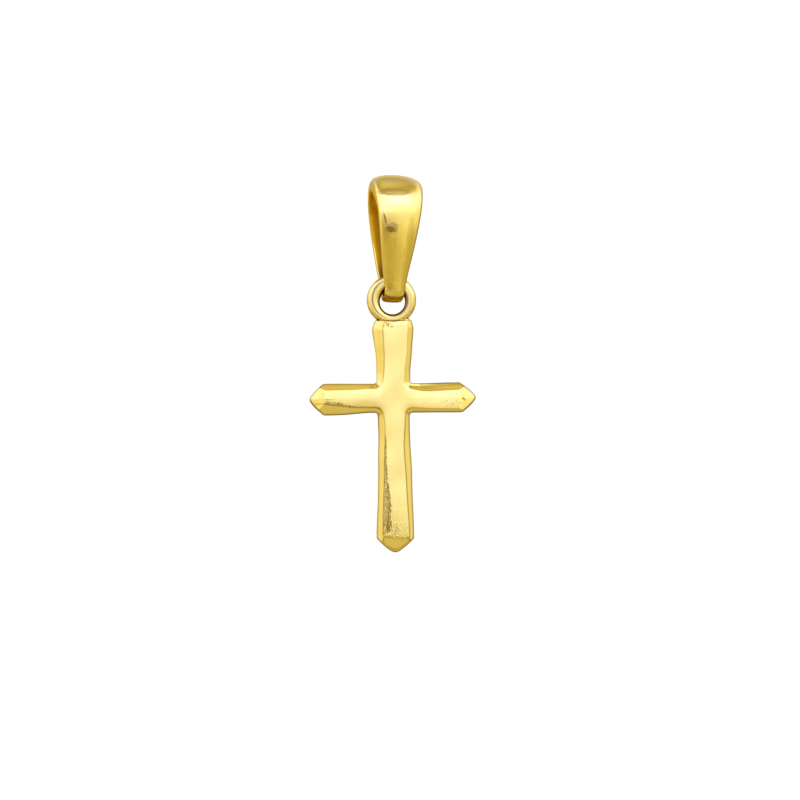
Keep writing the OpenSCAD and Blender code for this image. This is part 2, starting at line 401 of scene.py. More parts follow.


# The eight long sides, each by which way it lies from the crossing. Every column is a short table of
# place along the arm and value: the bevel's width and its outer lip, how dark the painted shade at
# the edge is, how deep the chased line is as a share of CHASED_LINE, and how round the ridge is
BEVELS = [
    dict(right=-1, up=1, arm="upright",
         width=[(1.0, 0.33), (1.2, 0.42), (2.0, 0.48), (2.9, 0.52), (3.8, 0.65), (4.9, 0.62)],
         lip=[(1.0, 0.05)], shade=[(1.0, 0.3), (3.2, 0.25), (3.9, 0.6)], line=[(1.0, 0.8)],
         ridge=[(1.0, 0.10)]),
    dict(right=1, up=1, arm="upright",
         width=[(1.0, 0.33), (1.2, 0.36), (2.0, 0.31), (2.9, 0.28), (3.8, 0.32), (4.9, 0.33)],
         lip=[(1.0, 0.10), (2.0, 0.03)], shade=[(1.0, 0.6), (2.0, 0.85), (3.8, 0.85)],
         line=[(1.0, 0.5)], ridge=[(1.0, 0.12)]),
    dict(right=-1, up=-1, arm="upright",
         width=[(1.0, 0.32), (1.4, 0.43), (2.8, 0.41), (4.0, 0.39), (5.2, 0.38), (6.4, 0.35), (8.6, 0.41)],
         lip=[(1.0, 0.05)], shade=[(1.0, 1.0), (1.6, 0.9), (2.8, 0.65), (8.6, 0.7)],
         line=[(1.0, 0.6)], ridge=[(1.0, 0.08)]),
    dict(right=1, up=-1, arm="upright",
         width=[(1.0, 0.27), (1.6, 0.27), (2.8, 0.39), (4.0, 0.39), (5.2, 0.35), (6.4, 0.32), (8.6, 0.27)],
         lip=[(1.0, 0.02), (2.4, 0.07), (8.6, 0.07)], shade=[(1.0, 0.85), (8.6, 0.85)],
         line=[(1.0, 1.0)], ridge=[(1.0, 0.10)]),
    dict(right=-1, up=1, arm="side",
         width=[(1.0, 0.31), (1.44, 0.34), (2.34, 0.40), (3.24, 0.44), (4.14, 0.45)],
         lip=[(1.0, 0.02)], shade=[(1.0, 0.65)], line=[(1.0, 0.0)], ridge=[(1.0, 0.16)]),
    dict(right=-1, up=-1, arm="side",
         width=[(1.0, 0.28), (1.44, 0.32), (2.34, 0.40), (3.24, 0.60), (4.14, 0.72)],
         lip=[(1.0, 0.02)], shade=[(1.0, 1.0)], line=[(1.0, 0.6)], ridge=[(1.0, 0.10)]),
    dict(right=1, up=1, arm="side",
         width=[(1.0, 0.30), (1.15, 0.38), (1.56, 0.53), (2.16, 0.57), (3.06, 0.56), (3.96, 0.52)],
         lip=[(1.0, 0.10), (1.6, 0.09), (2.2, 0.05), (2.8, 0.02)], shade=[(1.0, 0.7)],
         line=[(1.0, 0.0)], ridge=[(1.0, 0.28)]),
    dict(right=1, up=-1, arm="side",
         width=[(1.0, 0.27), (1.56, 0.28), (2.16, 0.21), (3.06, 0.19), (4.2, 0.17)],
         lip=[(1.0, 0.02)], shade=[(1.0, 1.0)], line=[(1.0, 0.2)], ridge=[(1.0, 0.20)])]
# How wide the scuffed strip inside the ridge is, at places down the foot and out along the left arm
FOOT_SCUFF = [
    (2.3, 0.0), (2.7, 0.08), (4.0, 0.17), (5.2, 0.29), (5.9, 0.45), (6.5, 0.56), (8.1, 0.56), (8.35, 0.0)]
ARM_SCUFF = [(1.0, 0.03), (2.2, 0.07), (2.6, 0.17), (3.4, 0.26), (3.9, 0.24), (4.15, 0.0)]


def read_table(at, rows):
    """The value at each place, straight between the rows of a table of place and value."""
    return np.interp(at, *np.array(rows).T)


def bevel_under(plain):
    """For each outline point, from the tables of the side that it is on: the bevel's width, lip, edge
    shade, chased line and ridge round, and the width of the scuffed strip inside the ridge. All but
    the last are evened out along the outline."""
    x, z = plain.T
    out_x, out_z = np.abs(plain.T)
    on_upright = out_z > out_x
    along = np.maximum(out_x, out_z)
    columns = {name: np.zeros(len(plain)) for name in ("width", "lip", "shade", "line", "ridge")}
    for side in BEVELS:
        here = (np.sign(x + 1e-9) == side["right"]) & (np.sign(z + 1e-9) == side["up"])
        here &= on_upright == (side["arm"] == "upright")
        for name, column in columns.items():
            column[here] = read_table(along[here], side[name])
    at_point = ((out_x > SIDE_CORNER_AT + 0.02) & ((x > 0) | (z < 0))) | (z < -FOOT_CORNER_AT - 0.12)
    columns["shade"][at_point] = POINT_SHADE
    scuff = np.where(on_upright, read_table(along, FOOT_SCUFF), read_table(along, ARM_SCUFF))
    scuff = np.where((x < 0) & (z < 0), scuff, 0)
    return [soften(column, BEVEL_SOFTENED) for column in columns.values()] + [scuff]


def edge_gap(x, z, outline, counted):
    """How far each point lies from the outline's counted sides, and the number of the nearest side.
    Only the sides next before and after the point's own place on the outline are tried."""
    step = np.roll(outline, -1, axis=0) - outline
    length = np.maximum((step**2).sum(axis=1), 1e-12)
    own = np.arange(len(outline))
    gap, nearest = np.full(x.shape, FAR), np.zeros(x.shape, int)
    for shift in range(-SIDES_TRIED, SIDES_TRIED + 1):
        side = np.roll(own, shift)
        from_x, from_z = x - outline[side, 0], z - outline[side, 1]
        share = np.clip((from_x * step[side, 0] + from_z * step[side, 1]) / length[side], 0, 1)
        away = np.hypot(from_x - share * step[side, 0], from_z - share * step[side, 1])
        away = away + FAR * ~counted[side]
        nearest = np.where(away < gap, side, nearest)
        gap = np.minimum(away, gap)
    return gap, nearest


def point_drop(x, z):
    """How far the facets at the three points fall below the face: each evenly from a soft line across
    its arm, and the side ones also to both sides of their own middle ridge, so that their upper
    halves look up. The foot's line waves a little."""
    ridge = np.sqrt(z**2 + 0.05**2)
    left_lean = np.where(z > 0, POINT_LEAN, LEFT_LEAN_DOWN) * ridge
    right_lean = np.where(z > 0, POINT_LEAN, RIGHT_LEAN_DOWN) * ridge
    left = soft_above(-x - SIDE_CORNER_AT + 0.1 * left_lean, 0.12) * (1 + left_lean)
    right = soft_above(x - SIDE_CORNER_AT + RIGHT_FACET_IN + 0.2 * right_lean, 0.14) * (1 + right_lean)
    foot = soft_above(-z - FOOT_CORNER_AT + 0.04 - 0.05 * np.sin(3.2 * x + 0.6), 0.16)
    return POINT_SLOPE * (left + right + foot)


def head_drop(z):
    """How far the head falls off towards its top: a slope of 0.25 over its last 0.26 mm and another
    0.5 over its last 0.07 mm, each from a soft line."""
    return 0.25 * soft_above(z - HEAD_HEIGHT + 0.26, 0.05) + 0.5 * soft_above(z - HEAD_HEIGHT + 0.07, 0.03)


def near_end(along, end):
    """0 along an arm and 1 at its end, turning over the last third of a millimetre before it."""
    return smooth_step(end - 0.35, end - 0.05, along)


def hand_waves(x, z):
    """The slight unevenness of a hand-finished casting, as a sum of long crossing waves; the foot's end
    also falls away a little, and the right arm looks up a little."""
    waves = WAVE_HEIGHT * (np.sin(2.1 * x + 1.3 * z + 0.7) + np.sin(-1.2 * x + 2.6 * z + 2.0)
                           + 0.7 * np.sin(4.3 * x - 0.9 * z + 1.1))
    return waves + 0.01 * np.maximum(-z - 6.6, 0) ** 2 + 0.02 * z * smooth_step(0.9, 1.6, x)


def cross_front(plain, outline, inwards):
    """The front, row by row from the outline to the middle lines, at the power 1.25 of even steps.
    With g the gap to the long sides, w the bevel's width and u = (g - lip) / (w - lip), it lies at
    FRONT less the larger, softly, of bevel and point facet, less the round of edge and face. The
    bevel is the rim's drop * (1 - u + 0.05 sin 2 pi u), with the chased line at g = w. Marks the
    painted shade along the edge and the chased line, and how scuffed the metal."""
    own_length = np.linalg.norm(inwards, axis=1)
    k = np.linspace(0, 1, 49)[:, None] ** 1.25
    x = outline[:, 0] + k * inwards[:, 0]
    z = outline[:, 1] + k * inwards[:, 1]
    plain_x, plain_z = plain.T
    counted = (np.abs(plain_x) < SIDE_CORNER_AT + 0.01) & (plain_z < HEAD_HEIGHT + ARM_SLIMMER - 0.01)
    counted &= plain_z > -FOOT_CORNER_AT - ARM_SLIMMER - 0.01
    gap, nearest = edge_gap(x, z, outline, counted)
    side_end = near_end(np.abs(x), SIDE_CORNER_AT)
    up_end = near_end(-z, FOOT_CORNER_AT) + near_end(z, HEAD_HEIGHT - 0.15)
    gap += side_end * (half_height(x, z) - np.abs(z) - gap) + up_end * (half_width(x, z) - np.abs(x) - gap)
    gap = np.maximum(gap, 0)
    own_gap = k * own_length

    width, lip, shade, line, round_ridge, scuff = (values[nearest] for values in bevel_under(plain))
    u = (gap - lip) / (width - lip)
    within = soft_above(1 - u, round_ridge) - soft_above(-u, 0.12)
    rim_drop = np.minimum(RIM_DROP, 0.85 * (width - lip))
    groove = line * np.exp(-(((gap - width + 0.01) / CHASED_WIDTH) ** 2))
    bevel = rim_drop * (within + 0.05 * np.sin(2 * math.pi * np.clip(u, 0, 1))) + CHASED_LINE * groove
    facet = point_drop(x, z) + head_drop(z)
    edge_round = EDGE_ROUND * soft_above(1 - own_gap / EDGE_ROUND, 0.9)
    face_round = FACE_ROUND * np.clip(1 - (gap - width) / FACE_ROUND_IN, 0, 1.3) ** 2
    drop = facet + soft_above(bevel - facet, 0.03) + edge_round + face_round
    y = drop - FRONT + hand_waves(x, z) * smooth_step(0, 0.3, k)

    # Painted shade along the outline, its strength set by side, and along the chased line
    edge_near = np.minimum(gap + FAR * (side_end + up_end > 0.5), own_gap)
    edge = np.maximum(shade * np.exp(-((edge_near / EDGE_SHADE_IN) ** 2)), LINE_SHADE * groove)
    scuffed = np.clip(1 - (gap - width) / np.maximum(scuff, 1e-6), 0, 1)
    scuffed = scuffed * (gap > width - 0.01) * (scuff > 0.01)
    return np.stack([x, y, z], axis=-1), edge, scuffed


def cross_behind(outline, inwards, rim_front):
    """The rim and the back, row by row from the front's outline to the middle lines: an upright rim,
    a quarter round for the back's edge, and a flat with a slight hollow."""
    own_length = np.linalg.norm(inwards, axis=1)
    rim_foot = BACK - BACK_EDGE
    depths = [rim_front * share + rim_foot * (1 - share) for share in (0.92, 0.7, 0.35, 0.12)]
    insets = [0 * own_length] * len(depths)
    for turn in np.array([0.0, 0.35, 0.7, 1.0]) * math.pi / 2:
        depths.append(BACK - BACK_EDGE * (1 - math.sin(turn)) + 0 * own_length)
        insets.append(BACK_EDGE * (1 - math.cos(turn)) / own_length)
    for share in (0.3, 0.6, 1.0):
        depths.append(BACK - BACK_HOLLOW * (1 - share) * share + 0 * own_length)
        insets.append(share + 0 * own_length)
    flat = outline + np.array(insets)[:, :, None] * inwards
    return np.stack([flat[..., 0], np.array(depths), flat[..., 1]], axis=-1)


def cross_skin():
    """The cross as rings of points: front middle line, face, bevel, rim, back edge, back middle line."""
    plain = plain_outline()
    outline = as_cast(np.stack([soften(values, OUTLINE_SOFTENED) for values in plain.T], axis=1))
    inwards = spine_under(plain) - outline
    front, edge, scuffed = cross_front(plain, outline, inwards)
    behind = cross_behind(outline, inwards, front[0, :, 1])
    no_mark = np.zeros(behind.shape[:2])
    # Painted shade on the rim's first two rows behind the front
    edge_shade_behind = no_mark.copy()
    edge_shade_behind[0] = 0.5
    edge_shade_behind[1] = 0.2
    marks = dict(edge=np.concatenate([edge[::-1], edge_shade_behind]),
                 scuff=np.concatenate([scuffed[::-1], no_mark]))
    return np.concatenate([front[::-1], behind]), marks


# How near two points are to be one, and how short an edge is to go, in metres
SAME_POINT = 2e-7
NO_EDGE = 1e-8


def skin(name, rows, material, **marks):
    """A mesh through rings of points, each ring closed, with doubles merged and faces turned out.
    Each mark is a number from 0 to 1 at every point, which the material reads by its name."""
    count, around = rows.shape[:2]
    number = np.arange(count * around).reshape(count, around)
    following = np.roll(number, -1, axis=1)
    faces = np.stack([number[:-1], following[:-1], following[1:], number[1:]], axis=-1)
    mesh = bpy.data.meshes.new(name)
    mesh.from_pydata((rows.reshape(-1, 3) * MM).tolist(), [], faces.reshape(-1, 4).tolist())
    for mark, values in marks.items():
        layer = mesh.attributes.new(mark, "FLOAT", "POINT")
        layer.data.foreach_set("value", values.ravel().astype(np.float32))
    shell = bmesh.new()
    shell.from_mesh(mesh)
    bmesh.ops.remove_doubles(shell, verts=shell.verts, dist=SAME_POINT)
    bmesh.ops.dissolve_degenerate(shell, edges=shell.edges, dist=NO_EDGE)
    bmesh.ops.recalc_face_normals(shell, faces=shell.faces)
    shell.to_mesh(mesh)
    shell.free()
    mesh.shade_smooth()
    mesh.materials.append(material)
    piece = bpy.data.objects.new(name, mesh)
    bpy.context.scene.collection.objects.link(piece)
    return piece


def bare_metal(name):
    """A new metal paint, its tree and its shader, tinted as gold is where it is seen edge on."""
    paint = bpy.data.materials.new(name)
    paint.use_nodes = True
    shader = paint.node_tree.nodes["Principled BSDF"]
    shader.inputs["Metallic"].default_value = 1.0
    shader.inputs["Specular Tint"].default_value = (*GLANCING_GOLD, 1)
    return paint, paint.node_tree, shader


def in_millimetres(tree, middle):
    """Object coordinates in millimetres from a middle point, so that a pattern stays on the metal."""
    place = knot(tree, "ShaderNodeTexCoord").outputs["Object"]
    inputs = {0: place, 1: tuple(-np.array(middle)), 3: (1 / MM,) * 3}
    return knot(tree, "ShaderNodeMapping", inputs).outputs[0]


def marked(tree, name):
    """A mark of the piece's own points, such as how near a point is to an edge; 0 where it has none."""
    return knot(tree, "ShaderNodeAttribute", attribute_name=name).outputs["Fac"]


def sum_of(tree, *values):
    """The sum of several values, held between 0 and 1."""
    total = values[0]
    for value in values[1:]:
        added = knot(tree, "ShaderNodeMath", {0: total, 1: value}, operation="ADD", use_clamp=True)
        total = added.outputs[0]
    return total


def product_of(tree, *values):
    """The product of several values."""
    total = values[0]
    for value in values[1:]:
        total = knot(tree, "ShaderNodeMath", {0: total, 1: value}, operation="MULTIPLY").outputs[0]
    return total


def cloud(tree, place, scale, detail, stretch=(1, 1, 1), turn=0.0, rough=0.5):
    """Smooth noise from 0 to 1 with so many waves to a millimetre, stretched along one way."""
    laid = knot(tree, "ShaderNodeMapping", {0: place, 2: (0, turn, 0), 3: stretch}).outputs[0]
    inputs = {"Vector": laid, "Scale": scale, "Detail": detail, "Roughness": rough}
    return knot(tree, "ShaderNodeTexNoise", inputs).outputs[0]


def zone(tree, place, middle, reach, turn=0.0, ragged=0.0, wobble=None, soft=0.25):
    """1 inside an oval of the metal, 0 outside, and ragged at its edge where wobble is a noise."""
    inputs = {0: place, 1: middle, 2: (0, turn, 0), 3: reach}
    inside = knot(tree, "ShaderNodeMapping", inputs, vector_type="TEXTURE").outputs[0]
    away = knot(tree, "ShaderNodeVectorMath", {0: inside}, operation="LENGTH").outputs["Value"]
    if wobble is not None:
        away = multiply_add(tree, wobble, ragged, away)
    return spread(tree, away, 0.9 - soft + 0.5 * ragged, 0.9 + soft + 0.5 * ragged, 1.0, 0.0)


def tinted(tree, share, colour, towards):
    """A colour turned towards another by a share from 0 to 1."""
    colour = colour if isinstance(colour, bpy.types.NodeSocket) else (*colour, 1)
    return blended(tree, share, colour, (*towards, 1))


def raised(tree, height, distance, strength, below=None):
    """A bump of a height pattern, laid over another bump."""
    inputs = {"Height": height, "Distance": distance * MM, "Strength": strength}
    if below is not None:
        inputs["Normal"] = below
    return knot(tree, "ShaderNodeBump", inputs).outputs[0]


GOLD = (1.0, 0.77, 0.2)
GLANCING_GOLD = (1.0, 0.8, 0.35)
DEEP_GOLD = (0.88, 0.65, 0.14)
WORN_GOLD = (0.27, 0.18, 0.03)
TARNISH_AND_SHADE = (0.09, 0.03, 0.004)
# The colour of the painted shade along the edges
EDGE_SHADE_GOLD = (0.12, 0.055, 0.009)
# Worn places, and tarnish with painted shade beside the ring, from the crossing's middle: middle, half
# sizes, turn, and how ragged they are
FACE = -FRONT
SWIRL = ((-0.2, FACE, -7.8), (0.45, 0.4, 0.4), 0.5, 1.0)
HEAD_SCUFF = ((-0.24, FACE, 4.42), (0.3, 0.4, 0.13), 0.3, 1.4)
TIP_NICK = ((4.2, FACE + 0.1, -0.1), (0.16, 0.4, 0.05), 0.75, 1.0)
FOOT_PITS = ((0.2, FACE, -7.95), (0.55, 0.4, 0.55), 0.0, 1.0)
ARM_PITS = ((3.4, FACE, -0.3), (0.75, 0.4, 0.24), 0.0, 1.0)
UNDER_LEFT_ARM = ((-3.0, FACE, -0.6), (1.7, 0.5, 0.7))
# Tarnish with painted shade in the corners beside the ring and along the solder seam
LEFT_OF_RING = ((-0.98, 0.0, 4.76), (0.28, 0.5, 0.085), 0.15)
RIGHT_OF_RING = ((1.0, 0.0, 4.76), (0.22, 0.5, 0.09), -0.2)
SOLDER_SEAM = ((0.0, -0.3, 4.72), (0.95, 0.25, 0.04))


def polished_gold():
    """Polished gold with a fine grain, hair scratches both ways, a few pits, scuffed dark beside the
    foot's left bevel and under the left arm's edge, tarnish with painted shade in the ring's hole and
    the corners beside it, and painted shade and a painted dark reflection where the edges are marked."""
    paint, tree, shader = bare_metal("polished_gold")
    place = in_millimetres(tree, CROSSING)
    slow = cloud(tree, place, 0.7, 2.0)
    grain = cloud(tree, place, 14.0, 4.0, rough=0.65)
    wobble = cloud(tree, place, 5.0, 3.0)
    hairs_down = cloud(tree, place, 3.0, 2.0, (5.0, 1, 0.35), 0.12)
    hairs_across = cloud(tree, place, 3.0, 2.0, (0.4, 1, 5.0), 0.3)
    hairs = sum_of(tree, spread(tree, hairs_down, 0.62, 0.74, 0.0, 0.6),
                   spread(tree, hairs_across, 0.64, 0.76))
    scuffs = cloud(tree, place, 7.0, 4.0, (1.6, 1, 0.7), -0.35, 0.7)
    flecks = spread(tree, scuffs, 0.42, 0.6)

    scuff = marked(tree, "scuff")
    strip = sum_of(tree, product_of(tree, scuff, 0.8), product_of(tree, scuffs, 0.5))
    ridge_scuff = product_of(tree, spread(tree, strip, 0.3, 0.5), spread(tree, scuff, 0.0, 0.1))
    on_arm = zone(tree, place, *UNDER_LEFT_ARM)
    arm_flecks = spread(tree, cloud(tree, place, 8.0, 4.0, (1.0, 1, 1.8), 0.0, 0.75), 0.47, 0.56)
    foot_flecks = product_of(tree, spread(tree, scuffs, 0.3, 0.6, 0.45, 1.0),
                             spread(tree, scuff, 0.35, 0.8, 1.0, 0.72))
    patches = sum_of(tree, product_of(tree, on_arm, arm_flecks),
                     product_of(tree, spread(tree, on_arm, 0.0, 1.0, 1.0, 0.0), foot_flecks))
    dark = sum_of(tree, product_of(tree, ridge_scuff, patches),
                  product_of(tree, zone(tree, place, *SWIRL, wobble), flecks, 0.6),
                  product_of(tree, zone(tree, place, *HEAD_SCUFF, wobble), flecks, 0.8),
                  product_of(tree, zone(tree, place, *TIP_NICK, wobble), 0.8))
    pit_field = sum_of(tree, zone(tree, place, *FOOT_PITS, wobble), zone(tree, place, *ARM_PITS, wobble))
    pits = product_of(tree, pit_field, spread(tree, cloud(tree, place, 9.0, 2.0, rough=0.6), 0.56, 0.68))
    # Tarnish with painted shade in the ring's hole, the corners beside it and the solder seam
    recess = sum_of(tree, zone(tree, place, *LEFT_OF_RING),
                    product_of(tree, zone(tree, place, *RIGHT_OF_RING), 0.6),
                    product_of(tree, zone(tree, place, *SOLDER_SEAM), 0.2), marked(tree, "recess"))

    colour = tinted(tree, spread(tree, slow, 0.35, 0.75, 0.0, 0.35), GOLD, DEEP_GOLD)
    colour = tinted(tree, spread(tree, grain, 0.52, 0.8, 0.0, 0.4), colour, DEEP_GOLD)
    colour = tinted(tree, product_of(tree, pits, 0.55), colour, WORN_GOLD)
    colour = tinted(tree, dark, colour, WORN_GOLD)
    colour = tinted(tree, product_of(tree, recess, 0.85), colour, TARNISH_AND_SHADE)
    # Painted shade where the edges are marked: the cross's outline and chased lines, and the ring
    colour = tinted(tree, product_of(tree, marked(tree, "edge"), 0.9), colour, EDGE_SHADE_GOLD)
    tree.links.new(colour, shader.inputs["Base Color"])
    dull = sum_of(tree, spread(tree, slow, 0.3, 0.7, 0.14, 0.22), product_of(tree, hairs, 0.06),
                  product_of(tree, dark, 0.2), product_of(tree, pits, 0.12))
    tree.links.new(dull, shader.inputs["Roughness"])
    bump = raised(tree, grain, 0.006, 0.6)
    bump = raised(tree, hairs, 0.003, 0.35, bump)
    bump = raised(tree, product_of(tree, sum_of(tree, dark, pits), scuffs), 0.03, 0.8, bump)
    tree.links.new(bump, shader.inputs["Normal"])
    return paint


cross_gold = polished_gold()
cross_points, cross_marks = cross_skin()
cross_body = skin("cross_body", cross_points + CROSSING, cross_gold, **cross_marks)
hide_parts("cross")
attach(cross_body, "cross")


# The ring on the cross's head
# A round wire ring of the same gold, standing in the plane of the cross and soldered down into the
# middle of its head. Its hole lies a little low and to the right, and tarnish with painted shade sits in
# it.
RING_OUTER = 1.482
RING_HOLE = 0.75
RING_HALF_DEPTH = 0.27
HOLE_SHIFT = (0.054, -0.1)
WIRE_POWER = 2.8
RING_AT = np.array([CROSSING[0] - 0.055, 0.0, cross_high[2] - 1.48])


def ring_skin():
    """Rings of points round the wire. Its section lies between the outer circle and the hole's circle
    and is a rounded oblong of power 2.8: depth = (1 - out^p)^(1/p), with out from -1 to 1. Marks
    painted shade at the front and back edges, along the rim and more on the right, a painted dark
    reflection along the front's crest, and tarnish with painted shade in the hole."""
    round_ring = np.linspace(0, 2 * math.pi, 145)[:, None]
    round_wire = np.linspace(0, 2 * math.pi, 96, endpoint=False)[None, :]
    sine, cosine = np.sin(round_ring), np.cos(round_ring)
    out = np.cos(round_wire)
    share = 0.5 + 0.5 * out
    hole_x, hole_z = HOLE_SHIFT[0] + RING_HOLE * sine, HOLE_SHIFT[1] + RING_HOLE * cosine
    x = hole_x + (RING_OUTER * sine - hole_x) * share
    z = hole_z + (RING_OUTER * cosine - hole_z) * share
    depth = np.sign(np.sin(round_wire)) * (1 - np.abs(out) ** WIRE_POWER) ** (1 / WIRE_POWER)

    on_right = 0.5 + 0.5 * sine
    # Painted shade at the wire's edges and rim, a painted dark reflection along the front's crest, and an
    # even painted shade that is deeper on the right and upper left
    edge = np.exp(-((depth / 0.3) ** 2)) + 0 * x
    crest_reflection = np.exp(-(((out - 0.12 - 0.3 * cosine) / 0.14) ** 2)) * (depth < 0)
    crest_reflection = crest_reflection * (0.2 + 0.75 * smooth_step(0.0, 0.8, -sine))
    rim = 0.5 * smooth_step(0.8, 0.95, out)
    side_shade = 0.06 + 0.08 * on_right + 0.1 * smooth_step(0.3, 0.9, np.cos(round_ring + 0.9))
    dark = side_shade + 0.84 * np.maximum(np.maximum(edge, crest_reflection), rim)
    # Tarnish with painted shade in the hole, deeper on the right
    recess = smooth_step(0.48 - 0.38 * on_right, 0.8 - 0.15 * on_right, -out) + 0.1 * on_right**2
    return np.stack([x, RING_HALF_DEPTH * depth + 0 * x, z], axis=-1), dark, recess


ring_points, ring_painted_shade, ring_recess = ring_skin()
cross_ring = skin("cross_ring", ring_points + RING_AT, cross_gold, edge=ring_painted_shade, recess=ring_recess)
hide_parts("cross")
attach(cross_ring, "cross")


# The solder under the ring
# A smooth low pad of gold solder, run in when the ring is fixed. It fills the corner between the
# ring's foot and the cross's head.
SOLDER_HALF = np.array([1.0, 0.2, 0.2])
SOLDER_AT = np.array([0.05, 0.0, HEAD_HEIGHT - 0.04])
SOLDER_POWER = 2.6


def squared(wave, power):
    """A sine or cosine raised to 2 / power with its own sign, which squares off a round section."""
    return np.sign(wave) * np.abs(wave) ** (2 / power)


def solder_skin():
    """A pillow: a ball drawn out to its half sizes, with power 2.6 both ways for its squarer ends."""
    up = np.linspace(-math.pi / 2, math.pi / 2, 33)[:, None]
    turn = np.linspace(0, 2 * math.pi, 64, endpoint=False)[None, :]
    flat = np.abs(np.cos(up)) ** (2 / SOLDER_POWER)
    x = flat * squared(np.cos(turn), SOLDER_POWER)
    y = flat * squared(np.sin(turn), SOLDER_POWER)
    z = squared(np.sin(up), SOLDER_POWER) + 0 * turn
    return np.stack([x, y, z], axis=-1) * SOLDER_HALF


solder_pad = skin("solder_pad", solder_skin() + SOLDER_AT + CROSSING, cross_gold)
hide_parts("cross")
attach(solder_pad, "cross")


# The bail
# A band of gold bent double over the chain: wide and thick at its arch, tapering down both leaves
# to a narrow foot that passes through the ring. Satin outside, bright along its edges, and turned
# and leaned a little as it hangs.
BAIL_TURN = math.radians(11)
BAIL_LEAN = math.radians(3)
# The arch over the chain, and the crown that the leaves keep below it
ARCH_INNER = 1.35
ARCH_COVER = math.radians(-5)
ARCH_WIDTH = 2.73
ARCH_SPREAD = 0.1
ARCH_WALL = 0.55
ARCH_CROWN = 0.16
ARCH_CURL = 0.75
ARCH_SKEW = 0.03
LEAF_CROWN = 0.1
# The foot in the ring, and the seam across it where the band's end is closed
FOOT_INNER = 0.53
FOOT_AT = -6.15
FOOT_LEAN = math.radians(9)
FOOT_WIDTH = 1.2
FOOT_WALL = 0.43
FOOT_SHIFT = 0.04
SEAM_AT = 1.55
SEAM_BOW = 0.16
SEAM_DEPTH = 0.07
SEAM_WIDTH = 0.09
# How square the band's section is
POWER_ACROSS = 5.5
POWER_THROUGH = 4.5


def leaf_curve(t):
    """The inner line of the front leaf, a smooth four-point curve from the arch to the foot's bend."""
    start = np.array([ARCH_INNER * math.cos(ARCH_COVER), -ARCH_INNER - ARCH_INNER * math.sin(ARCH_COVER)])
    end = np.array([FOOT_INNER * math.cos(FOOT_LEAN), FOOT_AT - FOOT_INNER * math.sin(FOOT_LEAN)])
    length = np.linalg.norm(end - start)
    first = start + 0.40 * length * np.array([-math.sin(ARCH_COVER), -math.cos(ARCH_COVER)])
    second = end + 0.30 * length * np.array([math.sin(FOOT_LEAN), math.cos(FOOT_LEAN)])
    t = t[:, None]
    return ((1 - t) ** 3 * start + 3 * (1 - t) ** 2 * t * first + 3 * (1 - t) * t**2 * second + t**3 * end)


def bail_path():
    """Round the loop once: half arch, front leaf, foot's bend, back leaf, half arch. Gives the inner
    line's points, out and down, the share of the way from the arch to the foot at each, which runs on
    past 1 round the bend, and which of them are in front."""
    arch = np.linspace(math.pi / 2, -ARCH_COVER, 90)
    top = np.stack([ARCH_INNER * np.cos(arch), -ARCH_INNER + ARCH_INNER * np.sin(arch)], axis=1)
    t = np.linspace(0, 1, 110)[1:]
    bend = np.linspace(-FOOT_LEAN, -math.pi / 2, 40)[1:]
    foot = np.stack([FOOT_INNER * np.cos(bend), FOOT_AT + FOOT_INNER * np.sin(bend)], axis=1)
    half = np.concatenate([top, leaf_curve(t), foot])
    share = np.concatenate([np.zeros(len(top)), t, 1 + (-bend - FOOT_LEAN)])
    line = np.concatenate([half, half[-2:0:-1] * (-1, 1)])
    return line, np.concatenate([share, share[-2:0:-1]]), line[:, 0] > 0


def as_hung(x, y, z):
    """The band turned about the upright, and then leaned so that its foot swings to the left."""
    turned_x = x * math.cos(BAIL_TURN) - y * math.sin(BAIL_TURN)
    turned_y = x * math.sin(BAIL_TURN) + y * math.cos(BAIL_TURN)
    leaned_x = turned_x * math.cos(BAIL_LEAN) + z * math.sin(BAIL_LEAN)
    leaned_z = -turned_x * math.sin(BAIL_LEAN) + z * math.cos(BAIL_LEAN)
    return np.stack([leaned_x, turned_y, leaned_z], axis=-1)


